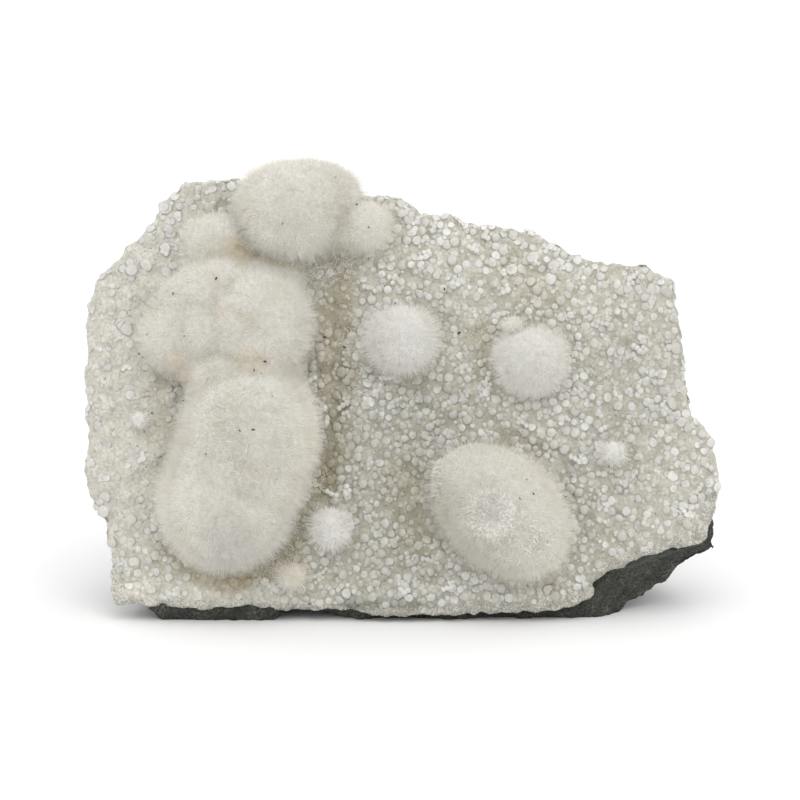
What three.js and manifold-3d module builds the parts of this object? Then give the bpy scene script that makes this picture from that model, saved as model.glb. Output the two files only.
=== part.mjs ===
// An okenite specimen: a standing wedge of basalt whose front is lined with a crust of small
// chalcedony lumps, on which round okenite puffballs have grown. Millimetres, +Z up.
//
// Everything is drawn flat on the front face first: x runs across it, y up it and z out of it.
// The whole group then leans back and stands on its flat underside, with the face towards -Y.
import * as THREE from "three";
import { ImprovedNoise } from "three/addons/math/ImprovedNoise.js";
import { mergeVertices } from "three/addons/utils/BufferGeometryUtils.js";
import Module from "manifold-3d";

const LEAN = THREE.MathUtils.degToRad(12); // how far the face leans back from upright
const LIFT = 0.75; // height of the drawing's own origin above the surface it stands on
const FORWARD = 22.8; // from the middle of the specimen's depth to the drawing's origin
const GAP = 0.3; // between one piece and the next
const FACE_CENTRE = new THREE.Vector2(0, 56);
const FACE_HALF_WIDTH = 80;
const FACE_HEIGHT = 110;

const CRUST_THICKNESS = 3;
const LUMP_PITCH = 6.2; // from one lump of the crust to its neighbour
const LUMP_HEIGHT = 2.5;
const HOLLOW_HEIGHT = 0.3; // how uneven the crust is between its lumps
const SWELL_HEIGHT = 0.8; // of the broad, low swells that run across the crust
const SWELL_SPAN = 22;
const EDGE_FALL = 1.8; // how far the crust rounds back at its broken edge
const EDGE_FALL_WIDTH = 5;
const FLAT_MARGIN = 1.6; // width of the ring round a puffball's foot that has no lumps
const FULL_MARGIN = 4.5; // and how far out the lumps reach their full height

const BASALT_DEPTH_FOOT = 58;
const BASALT_DEPTH_TOP = 17;
const BASALT_ROUGHNESS = 2.2;
const BASALT_FACET = 9; // from one broken corner of its back to the next
const BASALT_SECTORS = 64;
const BASALT_TURN = THREE.MathUtils.degToRad(3.1); // brings one sector round to the right corner
const BASALT_BITE = 7; // how deep the broken hollows in its sides and back are
const BASALT_BITE_SPAN = 31;
const BASALT_BOW = 0.3; // share of its depth that the back loses towards its sides
const BASALT_BEVEL = 0.8; // how fast its front slopes back where no crust covers it
const BASALT_TUCK = 0.98; // how much of the crust's outline the basalt behind it fills
const BASALT_SIDE_DEPTH = 12; // behind the crust, where the sides reach their full roughness

// The basalt is a ball of rings and sectors pulled into shape. Each ring has a share of the way
// from the crust's edge out to the basalt's own edge, a distance back and an inward taper.
const BASALT_RINGS = [
  { outward: 0, back: 0, taper: 0 },
  { outward: 0, back: 0, taper: 1 },
  { outward: 0.5, back: 0, taper: 1 },
  { outward: 1, back: 0, taper: 1 },
  { outward: 1, back: BASALT_SIDE_DEPTH, taper: 0.99 },
  { outward: 1, back: 27, taper: 0.95 },
  { outward: 1, back: 43, taper: 0.87 },
  { outward: 1, back: 70, taper: 0.64 },
  { outward: 1, back: 70, taper: 0 },
];

const LEAST_TUFT = 0.9; // height of the tufts of fibre on the smallest puffball
const TUFT_SHARE = 0.04; // and how much they gain with a puffball's radius
const FOOT_PAST_CRUST = 1.006; // outline that a puffball is cut by, against the crust's own

// The crust's broken outline, clockwise from its upper left corner.
const CRUST_OUTLINE = [
  [-53.4, 109.8], [-43.1, 110.6], [-27.9, 109], [-13.9, 107.5], [-4.6, 106.3], [2.1, 105],
  [5.1, 102.3], [12.4, 101.3], [16.6, 99.3], [23.6, 98.8], [34.9, 95.8], [43.1, 91.5],
  [47.4, 89.8], [61.1, 89.3], [64.1, 87], [68.4, 85], [69.1, 78.5], [70.6, 70.3],
  [71.1, 59], [72.4, 52], [76.4, 47.8], [78.1, 42.8], [79.1, 35.8], [78.4, 26.5],
  [76.6, 21.3], [74.9, 19.5], [65.9, 17.3], [55.9, 14.5], [52.4, 12.5], [49.1, 10.3],
  [47.1, 6.5], [44.9, 4], [39.9, 2.9], [27.9, 1.9], [11.4, 1.5], [-5.1, 1.5],
  [-16.4, 2.8], [-25.9, 2.8], [-41.6, 3.8], [-48.6, 2.8], [-58.9, 3.5], [-71.1, 4.5],
  [-71.4, 10.3], [-71.1, 14.5], [-73.4, 19], [-74.1, 25.3], [-76.9, 29], [-78.6, 35.8],
  [-78.9, 40.3], [-77.9, 45.3], [-78.6, 51.5], [-77.9, 59], [-78.1, 66.5], [-78.6, 74],
  [-77.1, 81.5], [-75.9, 85.3], [-71.9, 89], [-65.6, 96.5], [-61.4, 100.3], [-59.4, 104],
  [-55.9, 107.8],
];

// Where the basalt shows below and beside the crust, from the right corner to the left one.
// The two stretches at -3 reach below the ground and become the flat feet.
const BASALT_LOWER_EDGE = [
  [77, 26], [77.9, 22.3], [78.5, 19.3], [77.1, 18], [74.6, 17.8], [72.1, 15.5],
  [65.6, 10.3], [61.1, 6.8], [57.4, 4], [53.9, 2.3], [49.6, 1.3], [46, -3],
  [0, -3], [-4, 0.6], [-11.4, 1], [-18.4, 1.3], [-22.1, 2], [-25.9, 2],
  [-27.6, 1.3], [-30, -3], [-53, -3], [-56.4, 0.8], [-59.4, 1.8], [-61.9, 2.5],
  [-64.4, 4.3], [-69, 5.5],
];

// Each puffball is one or more ellipsoids: its middle on the face, its half-sizes across, up and
// out of the face, how far its middle stands out, and the angle it is turned by.
const CLUSTER = [
  { x: -28.3, y: 102.3, size: [14, 13.2, 13.5], out: 3, detail: 2 },
  { x: -19.1, y: 105, size: [10.8, 10.8, 9.5], out: 1, detail: 1 },
  { x: -8.6, y: 98.8, size: [7.6, 7.8, 7.5], out: 2, detail: 1 },
  { x: -45.2, y: 93, size: [9.4, 9.2, 8], out: 1.5, detail: 1 },
  { x: -36.9, y: 74.2, size: [15.7, 16.8, 15.5], out: 3, detail: 2 },
  { x: -54.4, y: 71.8, size: [11, 11, 10.5], out: 2, detail: 1 },
  { x: -37.4, y: 45.8, size: [18, 19, 16.5], out: 3, detail: 2 },
  { x: -43.4, y: 29.5, size: [17.8, 17.8, 17], out: 3, detail: 2 },
  { x: -38.5, y: 60.2, size: [14.4, 12, 13.5], out: 2.5, detail: 1 },
];
const LOWER_RIGHT = [{ x: 24.9, y: 28, size: [20.6, 15, 15.5], out: 3, turn: -45, detail: 2 }];
const CENTRE = [{ x: 0.4, y: 70.8, size: [9.2, 9.2, 9], out: 1.8, detail: 2 }];
const RIGHT = [
  { x: 32.6, y: 65.3, size: [9.3, 9.3, 9], out: 1.8, detail: 2 },
  { x: 28.2, y: 73.7, size: [3.4, 3.4, 3.4], out: 1.8, detail: 0 },
];
const WHITE_BUD = [{ x: -17.6, y: 23.5, size: [5.8, 6.3, 6], out: 2, detail: 1 }];
const TAN_BUD = [{ x: -27.1, y: 11.5, size: [4.8, 4.6, 4.4], out: 1.2, detail: 0 }];
const RIGHT_BUD = [{ x: 52.9, y: 42.3, size: [3.6, 3.6, 3.4], out: 0.8, detail: 0 }];
const LEFT_BUD = [{ x: -64.9, y: 50.3, size: [3.1, 3.3, 3], out: 0.6, detail: 0 }];
const ALL_BALLS = [
  ...CLUSTER, ...LOWER_RIGHT, ...CENTRE, ...RIGHT,
  ...WHITE_BUD, ...TAN_BUD, ...RIGHT_BUD, ...LEFT_BUD,
];

// Where the lower right puffball was crushed.
const CRATER = { x: 22.1, y: 27.5, out: 16.9, radius: 4.9, rim: 1.3 };

// Blocks that cut or carry a shape are larger than anything they meet.
const GRID = { width: 240, height: 130, depth: 20, jitter: 0.22 };
const BEYOND = 400;

const wasm = await Module();
wasm.setup();
const noise = new ImprovedNoise();

// A repeatable number from 0 to 1 for a pair of whole numbers.
function chance(i, j) {
  const spread = Math.sin(i * 127.1 + j * 311.7) * 43758.5453;
  return spread - Math.floor(spread);
}

function solidOf(geometry) {
  const bare = geometry.clone();
  bare.deleteAttribute("normal");
  bare.deleteAttribute("uv");
  const merged = mergeVertices(bare, 1e-4);
  const { array } = merged.attributes.position;
  return new wasm.Manifold(
    new wasm.Mesh({ numProp: 3, vertProperties: array, triVerts: new Uint32Array(merged.index.array) }),
  );
}

function geometryOf(solid) {
  const mesh = solid.getMesh();
  const geometry = new THREE.BufferGeometry();
  geometry.setAttribute("position", new THREE.BufferAttribute(mesh.vertProperties, 3));
  geometry.setIndex(new THREE.BufferAttribute(mesh.triVerts, 1));
  return geometry;
}

// Calls change(vertex, index) on every vertex of a geometry and stores the result.
function moveVertices(geometry, change) {
  const { position } = geometry.attributes;
  const vertex = new THREE.Vector3();
  for (let i = 0; i < position.count; i++) {
    vertex.fromBufferAttribute(position, i);
    change(vertex, i);
    position.setXYZ(i, vertex.x, vertex.y, vertex.z);
  }
  return geometry;
}

// How far a line of points lies from the face's centre in a direction, or 0 where it has no point.
function reach(points, direction, closed) {
  let furthest = 0;
  for (let i = closed ? 0 : 1; i < points.length; i++) {
    const [ax, ay] = points.at(i - 1);
    const [bx, by] = points[i];
    const a = new THREE.Vector2(ax, ay).sub(FACE_CENTRE);
    const edge = new THREE.Vector2(bx - ax, by - ay);
    const turn = direction.cross(edge);
    const along = a.cross(direction) / turn;
    const distance = a.cross(edge) / turn;
    if (distance > furthest && along >= 0 && along <= 1) furthest = distance;
  }
  return furthest;
}

// How far a point of the face is from the nearest stretch of the crust's outline.
function edgeDistance(x, y) {
  const point = new THREE.Vector3(x, y, 0);
  const nearest = new THREE.Vector3();
  let least = Infinity;
  CRUST_OUTLINE.forEach(([bx, by], i) => {
    const [ax, ay] = CRUST_OUTLINE.at(i - 1);
    const line = new THREE.Line3(new THREE.Vector3(ax, ay, 0), new THREE.Vector3(bx, by, 0));
    line.closestPointToPoint(point, true, nearest);
    least = Math.min(least, nearest.distanceTo(point));
  });
  return least;
}

// 0 under a puffball and close to its foot, rising to 1 a few millimetres away from it.
function clearOfBalls(x, y) {
  let clear = 1;
  for (const ball of ALL_BALLS) {
    const turn = THREE.MathUtils.degToRad(ball.turn ?? 0);
    const offset = new THREE.Vector2(x - ball.x, y - ball.y);
    offset.rotateAround(new THREE.Vector2(), -turn);
    const [across, up] = ball.size;
    const past = Math.hypot(offset.x / across, offset.y / up) * Math.min(across, up);
    const rise = THREE.MathUtils.smoothstep(past - Math.min(across, up), FLAT_MARGIN, FULL_MARGIN);
    clear = Math.min(clear, rise);
  }
  return clear;
}

// A block with a grid of equal-sided triangles over its front and its back. shape(vertex, i, j)
// moves each corner, where i and j count along the grid.
function gridBlock(side, shape) {
  const row = (side * Math.sqrt(3)) / 2;
  const columns = Math.ceil(GRID.width / side);
  const rows = Math.ceil(GRID.height / row);
  const width = columns * side;
  const height = rows * row;
  const jitter = GRID.jitter * side;
  const block = new THREE.BoxGeometry(width, height, GRID.depth, columns, rows, 1);
  return moveVertices(block, (vertex) => {
    const i = Math.round((vertex.x + width / 2) / side);
    const j = Math.round((height / 2 - vertex.y) / row);
    vertex.x += FACE_CENTRE.x - vertex.y / Math.sqrt(3) + jitter * (2 * chance(i, j) - 1);
    vertex.y += FACE_CENTRE.y + jitter * (2 * chance(j, i + 7) - 1);
    shape(vertex, i, j);
  });
}

// The crust's front: every third corner of the grid is raised into a lump.
function lumpyBlock() {
  return gridBlock(LUMP_PITCH / Math.sqrt(3), (vertex, i, j) => {
    if (vertex.z < 0) return;
    const raised = (i - j) % 3 === 0;
    const height = 0.7 + 0.3 * chance(i + 3, j);
    const lump = raised ? LUMP_HEIGHT * height : HOLLOW_HEIGHT * chance(i, j + 5);
    const roll = 1 - Math.min(1, edgeDistance(vertex.x, vertex.y) / EDGE_FALL_WIDTH);
    const swell = SWELL_HEIGHT * noise.noise(vertex.x / SWELL_SPAN, vertex.y / SWELL_SPAN, 0.4);
    vertex.z = clearOfBalls(vertex.x, vertex.y) * (lump + swell - EDGE_FALL * roll * roll);
  });
}

// The basalt's broken back, deep at the foot and thin at the top.
function brokenBackBlock() {
  return gridBlock(BASALT_FACET, (vertex, i, j) => {
    if (vertex.z > 0) return;
    const tall = THREE.MathUtils.clamp(vertex.y / FACE_HEIGHT, 0, 1);
    const depth = THREE.MathUtils.lerp(BASALT_DEPTH_FOOT, BASALT_DEPTH_TOP, tall);
    const bow = 1 - BASALT_BOW * (vertex.x / FACE_HALF_WIDTH) ** 2;
    const span = BASALT_BITE_SPAN;
    const bite = BASALT_BITE * noise.noise(vertex.x / span, vertex.y / span, 2.6);
    vertex.z = bite - depth * bow + BASALT_ROUGHNESS * (2 * chance(i + 11, j) - 1);
  });
}

// The crust's outline as a closed prism between two depths.
function outlinePrism(scale, back, front) {
  const shape = new THREE.Shape(CRUST_OUTLINE.map(([x, y]) => new THREE.Vector2(x, y)));
  const prism = new THREE.ExtrudeGeometry(shape, { depth: front - back, bevelEnabled: false });
  prism.translate(-FACE_CENTRE.x, -FACE_CENTRE.y, back);
  prism.scale(scale, scale, 1);
  return prism.translate(FACE_CENTRE.x, FACE_CENTRE.y, 0);
}

function crust() {
  const front = SWELL_HEIGHT + 2 * LUMP_HEIGHT;
  return solidOf(lumpyBlock()).intersect(solidOf(outlinePrism(1, -CRUST_THICKNESS, front)));
}

// The basalt's front and its broken sides.
function basaltSides() {
  const rings = BASALT_RINGS.length - 1;
  const body = new THREE.SphereGeometry(1, BASALT_SECTORS, rings).rotateX(Math.PI / 2);
  return moveVertices(body, (vertex, index) => {
    const { outward, back, taper } = BASALT_RINGS[Math.floor(index / (BASALT_SECTORS + 1))];
    const sector = (index % (BASALT_SECTORS + 1)) % BASALT_SECTORS;
    const angle = (2 * Math.PI * sector) / BASALT_SECTORS + Math.PI + BASALT_TURN;
    const direction = new THREE.Vector2(Math.cos(angle), Math.sin(angle));
    const crustEdge = BASALT_TUCK * reach(CRUST_OUTLINE, direction, true);
    const ownEdge = Math.max(reach(BASALT_LOWER_EDGE, direction, false), crustEdge);
    const shown = (ownEdge - crustEdge) * outward;
    const bite = BASALT_BITE * Math.abs(noise.noise(2 * direction.x, 2 * direction.y, back / 30));
    const broken = bite + BASALT_ROUGHNESS * chance(sector, back);
    const rough = Math.min(1, back / BASALT_SIDE_DEPTH) * broken;
    const radius = (crustEdge + shown - rough) * taper;
    const front = -CRUST_THICKNESS - GAP - BASALT_BEVEL * shown * taper;
    vertex.set(direction.x * radius, FACE_CENTRE.y + direction.y * radius, front - back);
  });
}

function basalt() {
  return solidOf(basaltSides()).intersect(solidOf(brokenBackBlock())).intersect(solidOf(aboveGround()));
}

// Everything above the ground, in the flat drawing of the face.
function aboveGround() {
  const block = new THREE.BoxGeometry(BEYOND, BEYOND, BEYOND).translate(0, 0, BEYOND / 2);
  return block.applyMatrix4(stance.matrix.clone().invert());
}

// An ellipsoid whose every face is raised into a short three-sided tuft of fibres.
function tuftedBall({ x, y, size, out, turn = 0, detail }, seed) {
  const faces = new THREE.IcosahedronGeometry(1, detail).attributes.position;
  const radius = Math.min(...size);
  const low = 1 - TUFT_SHARE - LEAST_TUFT / radius;
  const points = [];
  for (let face = 0; face < faces.count; face += 3) {
    const corners = [0, 1, 2].map((k) => new THREE.Vector3().fromBufferAttribute(faces, face + k));
    const tip = corners[0].clone().add(corners[1]).add(corners[2]).normalize();
    const shortened = low + (1 - low) * (0.6 + 0.4 * chance(face, seed));
    tip.multiplyScalar(shortened);
    corners.forEach((corner) => corner.multiplyScalar(low));
    corners.forEach((corner, k) => points.push(corner, corners[(k + 1) % 3], tip));
  }
  const ball = new THREE.BufferGeometry().setFromPoints(points);
  ball.rotateX(seed).rotateY(2 * seed);
  ball.scale(...size).rotateZ(THREE.MathUtils.degToRad(turn));
  return solidOf(ball.translate(x, y, out));
}

// Joins a group's balls and cuts them where they meet the crust. Past the crust's edge a ball
// keeps its round underside.
function puffball(balls) {
  const whole = balls
    .map((ball, i) => tuftedBall(ball, i + balls[0].x))
    .reduce((joined, next) => joined.add(next));
  return whole.subtract(solidOf(outlinePrism(FOOT_PAST_CRUST, -BASALT_DEPTH_FOOT, GAP)));
}

// The lower right ball was knocked: a ring of raised tufts stands round a shallow pit.
function crushedPuffball() {
  const { x, y, out, radius, rim } = CRATER;
  const ring = new THREE.TorusGeometry(radius, rim, 4, 12).translate(x, y, out);
  const pit = new THREE.IcosahedronGeometry(radius, 1).translate(x, y, out + 0.7 * radius);
  return puffball(LOWER_RIGHT).add(solidOf(ring)).subtract(solidOf(pit));
}

function stone(color, roughness) {
  return new THREE.MeshStandardMaterial({ color, roughness, metalness: 0 });
}
const basaltRock = stone(0x454a45, 0.9);
const milkyChalcedony = stone(0xcfccc0, 0.35);
const okeniteFibre = stone(0xe4dfd3, 1);

const stance = new THREE.Group();
stance.rotation.x = Math.PI / 2 - LEAN;
stance.position.set(0, -FORWARD, LIFT);
stance.updateMatrix();

function place(name, solid, material) {
  const mesh = new THREE.Mesh(geometryOf(solid), material);
  mesh.name = name;
  stance.add(mesh);
}

place("basalt_matrix", basalt(), basaltRock);
place("chalcedony_crust", crust(), milkyChalcedony);
place("puffball_cluster", puffball(CLUSTER), okeniteFibre);
place("puffball_lower_right", crushedPuffball(), okeniteFibre);
place("puffball_centre", puffball(CENTRE), okeniteFibre);
place("puffball_right", puffball(RIGHT), okeniteFibre);
place("puffball_white_bud", puffball(WHITE_BUD), okeniteFibre);
place("puffball_tan_bud", puffball(TAN_BUD), okeniteFibre);
place("puffball_right_bud", puffball(RIGHT_BUD), okeniteFibre);
place("puffball_left_bud", puffball(LEFT_BUD), okeniteFibre);

const specimen = new THREE.Group();
specimen.add(stance);
export default specimen;
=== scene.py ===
import math

import bmesh
import bpy
import numpy as np
from mathutils import Matrix, Vector, noise
from mathutils.bvhtree import BVHTree


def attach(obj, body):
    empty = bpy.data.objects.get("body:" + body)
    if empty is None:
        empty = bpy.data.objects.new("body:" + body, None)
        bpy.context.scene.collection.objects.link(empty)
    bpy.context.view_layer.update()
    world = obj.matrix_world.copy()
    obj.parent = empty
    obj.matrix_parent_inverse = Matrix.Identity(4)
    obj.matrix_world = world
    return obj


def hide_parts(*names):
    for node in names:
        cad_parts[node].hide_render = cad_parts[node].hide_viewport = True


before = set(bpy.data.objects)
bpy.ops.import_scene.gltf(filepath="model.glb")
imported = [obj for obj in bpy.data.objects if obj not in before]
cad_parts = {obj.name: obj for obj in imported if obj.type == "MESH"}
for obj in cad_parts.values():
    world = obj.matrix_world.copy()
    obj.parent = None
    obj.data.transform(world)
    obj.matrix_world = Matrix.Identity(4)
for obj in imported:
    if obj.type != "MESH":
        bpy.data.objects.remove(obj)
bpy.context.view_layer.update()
MM = 0.001
noise.seed_set(1)  # without it, the noise vectors would differ from run to run

# -------------------- basalt matrix
# The rock that the cavity formed in: dense, dark green-grey basalt, broken out with a hammer. Its
# back and sides are rough fractures, and it stands upright on a flat break. Along the chip at the
# lower right, where the crust is gone, it has a thin paler rim of altered rock.

LEAN = math.radians(12)  # how far the crusted face leans back
FACE_FRONT = -22.8 * MM  # how far forward and how high the lower edge of the face is
FACE_LIFT = 0.75 * MM
face = Matrix.Translation((0, FACE_FRONT, FACE_LIFT)) @ Matrix.Rotation(math.pi / 2 - LEAN, 4, "X")
flat = face.inverted()  # from the standing specimen back to the flat drawing of its face
outward = face.col[2].to_3d()

BASALT_MESH = 0.85 * MM
BASALT_SOFTENING = 2  # rounds of softening before the fracture is cut into it
FRACTURE_SOFTENING = 2  # and after
SAME_PLACE = 0.01 * MM  # two points that are closer than this are one
# Sizes and depths, in millimetres, of the flakes of the fracture, its sharp steps and its grain.
FLAKE_SIZE, FLAKE_DEPTH = 13, 1.5
STEP_SIZE, STEP_DEPTH = 7, 0.9
GRAIN_SIZE, GRAIN_DEPTH = 2.1, 0.5
FOOT_HEIGHT = 0.6  # what lies lower than this, in millimetres, is the flat foot
# Where the rock meets its foot flush: a line on the face, how far round it, and from how high.
FLUSH = [([(-58, 0), (-34, 0)], 6, 3.0), ([(-8, 0), (50, 0)], 9, 3.0)]
FLUSH_TOP = 8  # up to this height the rock is drawn down
# Where the rock swells: a line on the face, how far round it, and the push across, up and out.
SWELLINGS = [
    ([(53, 8), (70, 20)], 20, (1.6, -2.8, 2.0)),
    ([(-61, 1), (-31, 1)], 8, (0, 0, 5)),
    ([(-62, 5), (-58, 2)], 9, (-6, 0.8, 0)),
    ([(77, 20), (78.5, 24)], 5, (1.2, 0.4, 0)),
]
SWELLING_BACK = 40  # how far behind the face a swelling ends
# Where the crust is broken off and the rock comes out from under it, as a line on the face.
BROKEN_EDGE = [
    (-72, 12), (-71, 3), (-40, 2.5), (0, 1.5), (40, 2.5), (48, 6), (53, 12.5), (75, 19.5), (79, 30),
]
CHIP_EDGE = BROKEN_EDGE[-3:]
ALTERED_RIM = 1.4  # width of the paler rim along the chip
RIM_BACK, RIM_FRONT = -9, -5  # depths between which the rim comes in


def shown(name, data):
    """A new object in the scene."""
    made = bpy.data.objects.new(name, data)
    bpy.context.scene.collection.objects.link(made)
    return made


def linked(name, shape):
    """Stores a bmesh as a new piece."""
    mesh = bpy.data.meshes.new(name)
    shape.to_mesh(mesh)
    shape.free()
    return shown(name, mesh)


def settle(piece):
    """Applies a piece's modifiers."""
    graph = bpy.context.evaluated_depsgraph_get()
    finished = bpy.data.meshes.new_from_object(piece.evaluated_get(graph))
    piece.modifiers.clear()
    piece.data = finished


def soften(piece, rounds):
    """Evens a piece out a little, more with more rounds."""
    soft = piece.modifiers.new("soft", "SMOOTH")
    soft.factor = 0.5
    soft.iterations = rounds
    settle(piece)


def refine(piece, grid, softening):
    """Gives a piece an even fine mesh and softens its edges."""
    fine = piece.modifiers.new("fine", "REMESH")
    fine.mode = "VOXEL"
    fine.voxel_size = grid
    fine.use_smooth_shade = True
    soften(piece, softening)


def merged_copy(node, name):
    """A copy of a CAD node with its loose triangles joined."""
    shape = bmesh.new()
    shape.from_mesh(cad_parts[node].data)
    bmesh.ops.remove_doubles(shape, verts=shape.verts, dist=SAME_PLACE)
    return linked(name, shape)


def relief(piece, height):
    """Moves each vertex along its normal by what height(place) gives there."""
    moves = [v.normal * height(v.co) for v in piece.data.vertices]
    for vertex, move in zip(piece.data.vertices, moves):
        vertex.co += move


def fracture(place):
    """Broken basalt: broad flakes, sharp steps between them and a coarse grain."""
    at = place / MM
    flakes = noise.fractal(at / FLAKE_SIZE, 0.8, 2.2, 4)
    steps = noise.fractal(at / STEP_SIZE, 1.0, 2.0, 2, noise_basis="VORONOI_F2F1")
    grain = noise.fractal(at / GRAIN_SIZE, 0.6, 2.0, 3)
    return (FLAKE_DEPTH * flakes + STEP_DEPTH * (steps - 0.5) + GRAIN_DEPTH * grain) * MM


def flat_places(piece):
    """A piece's vertices in the flat drawing of its face, in millimetres, one row for each."""
    places = np.empty(len(piece.data.vertices) * 3)
    piece.data.vertices.foreach_get("co", places)
    return (places.reshape(-1, 3) @ np.array(flat.to_3x3()).T + flat.translation) / MM


def away_from(path, places):
    """How far each place is, along the face, from a line drawn on it."""
    least = np.full(len(places), np.inf)
    for start, end in zip(path, path[1:]):
        run = np.subtract(end, start)
        along = np.clip((places[:, :2] - start) @ run / (run @ run), 0, 1)
        beside = places[:, :2] - start - along[:, None] * run
        least = np.minimum(least, np.linalg.norm(beside, axis=1))
    return least


def smooth(value, low, high):
    """0 below low, 1 above high and a smooth rise between them."""
    t = np.clip((value - low) / (high - low), 0, 1)
    return t * t * (3 - 2 * t)


def near(path, places, radius, strength=1.0):
    """strength on a line of the face, and fading to nothing at a radius from it."""
    return strength * (1 - smooth(away_from(path, places), 0.2 * radius, radius))


def swell(piece, path, radius, push):
    """Pushes the part of a piece near a line of the face, and less what is further behind it."""
    places = flat_places(piece)
    shares = near(path, places, radius) * np.clip(1 + places[:, 2] / SWELLING_BACK, 0, 1)
    push = face.to_3x3() @ Vector(push) * MM
    for vertex, share in zip(piece.data.vertices, shares):
        vertex.co += push * share


def write(piece, name, values):
    """Stores one number for each vertex as an attribute."""
    piece.data.attributes.new(name, "FLOAT", "POINT").data.foreach_set("value", values)


basalt = merged_copy("basalt_matrix", "basalt")
refine(basalt, BASALT_MESH, BASALT_SOFTENING)
relief(basalt, fracture)
soften(basalt, FRACTURE_SOFTENING)
for path, radius, push in SWELLINGS:
    swell(basalt, path, radius, push)
places = flat_places(basalt)
lows = FOOT_HEIGHT + sum(near(path, places, radius, height) for path, radius, height in FLUSH)
for vertex, low in zip(basalt.data.vertices, lows):
    height = vertex.co.z / MM
    if height < FLUSH_TOP:
        vertex.co.z = max(0, (height - low) * FLUSH_TOP / (FLUSH_TOP - low)) * MM
rim = near(CHIP_EDGE, places, ALTERED_RIM) * smooth(places[:, 2], RIM_BACK, RIM_FRONT)
write(basalt, "rim", rim)


def add(tree, kind, inputs=(), **settings):
    """Adds a node, with its settings, and gives its inputs values or links, by name or number."""
    made = tree.nodes.new(kind)
    for setting, value in settings.items():
        setattr(made, setting, value)
    for key, value in dict(inputs).items():
        if isinstance(value, bpy.types.NodeSocket):
            tree.links.new(value, made.inputs[key])
        else:
            made.inputs[key].default_value = value
    return made


def stored(tree, name):
    """A number that is stored on the piece."""
    return add(tree, "ShaderNodeAttribute", attribute_name=name).outputs["Fac"]


def mixed(tree, share, first, second):
    """A colour that goes from the first to the second as share goes from 0 to 1."""
    made = add(tree, "ShaderNodeMix", {0: share, 6: first, 7: second}, data_type="RGBA")
    return made.outputs[2]


def multiplied(tree, first, second):
    """Two colours multiplied."""
    inputs = {0: 1.0, 6: first, 7: second}
    return add(tree, "ShaderNodeMix", inputs, data_type="RGBA", blend_type="MULTIPLY").outputs[2]


def ramped(tree, value, low, high, start=0.0, end=1.0):
    """start where a value is at low, end where it is at high, and smooth between them."""
    numbers = {"Value": value, "From Min": low, "From Max": high, "To Min": start, "To Max": end}
    return add(tree, "ShaderNodeMapRange", numbers, interpolation_type="SMOOTHSTEP").outputs[0]


def colour(red, green, blue):
    """A screen colour, from 0 to 255, as the shader's own linear one."""
    shares = [value / 255 for value in (red, green, blue)]
    return [s / 12.92 if s < 0.0404 else ((s + 0.055) / 1.055) ** 2.4 for s in shares] + [1]


def mottled_group():
    """Two colours in soft patches of a given size, and the same patches as a height."""
    tree = bpy.data.node_groups.new("mottled", "ShaderNodeTree")
    inputs = [("Dark", "Color"), ("Light", "Color"), ("Size", "Float"), ("Contrast", "Float")]
    outputs = [("Colour", "Color"), ("Height", "Float")]
    for way, sockets in (("INPUT", inputs), ("OUTPUT", outputs)):
        for name, kind in sockets:
            tree.interface.new_socket(name, in_out=way, socket_type="NodeSocket" + kind)
    given = add(tree, "NodeGroupInput").outputs
    place = add(tree, "ShaderNodeTexCoord").outputs["Object"]
    scale = {0: 1 / MM, 1: given["Size"]}
    scale = add(tree, "ShaderNodeMath", scale, operation="DIVIDE").outputs[0]
    cloud = {"Vector": place, "Scale": scale, "Detail": 3.0}
    clouds = add(tree, "ShaderNodeTexNoise", cloud).outputs[0]
    middle = add(tree, "ShaderNodeMath", {0: clouds, 1: 0.5}, operation="SUBTRACT").outputs[0]
    spread = {0: middle, 1: given["Contrast"], 2: 0.5}
    spread = add(tree, "ShaderNodeMath", spread, operation="MULTIPLY_ADD", use_clamp=True)
    shade = mixed(tree, spread.outputs[0], given["Dark"], given["Light"])
    add(tree, "NodeGroupOutput", {"Colour": shade, "Height": clouds})
    return tree


mottled = mottled_group()


def patches(tree, dark, light, size, contrast=3.0):
    """Places the mottled group: patches of a size in millimetres, between two colours."""
    inputs = {"Dark": dark, "Light": light, "Size": size, "Contrast": contrast}
    return add(tree, "ShaderNodeGroup", inputs, node_tree=mottled).outputs


def bumpy(tree, *layers):
    """A normal raised by several (height, depth in millimetres) layers."""
    normal = None
    for height, depth in layers:
        inputs = {"Height": height, "Distance": depth * MM, "Strength": 1.0}
        if normal:
            inputs["Normal"] = normal
        normal = add(tree, "ShaderNodeBump", inputs).outputs[0]
    return normal


def material(name, roughness):
    """A new material of a roughness, with its node tree and its Principled shader."""
    made = bpy.data.materials.new(name)
    made.use_nodes = True
    shader = made.node_tree.nodes["Principled BSDF"].inputs
    shader["Roughness"].default_value = roughness
    return made, made.node_tree, shader


ROCK_DARK = colour(48, 49, 43)
ROCK_LIGHT = colour(95, 97, 87)
CRYSTAL_DARK = colour(40, 42, 38)
RIM_GREEN = colour(84, 91, 86)


def basalt_rock():
    rock, tree, shader = material("basalt_rock", 0.85)
    coarse = patches(tree, ROCK_DARK, ROCK_LIGHT, 3.6, 2.6)
    crystals = patches(tree, CRYSTAL_DARK, coarse["Colour"], 0.5, 5)
    altered = ramped(tree, stored(tree, "rim"), 0.3, 1.0, 0.0, 0.6)
    tree.links.new(mixed(tree, altered, crystals["Colour"], RIM_GREEN), shader["Base Color"])
    rough = bumpy(tree, (coarse["Height"], 1.0), (crystals["Height"], 0.5))
    tree.links.new(rough, shader["Normal"])
    return rock


basalt.data.materials.append(basalt_rock())
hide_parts("basalt_matrix")
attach(basalt, "root")

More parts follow.
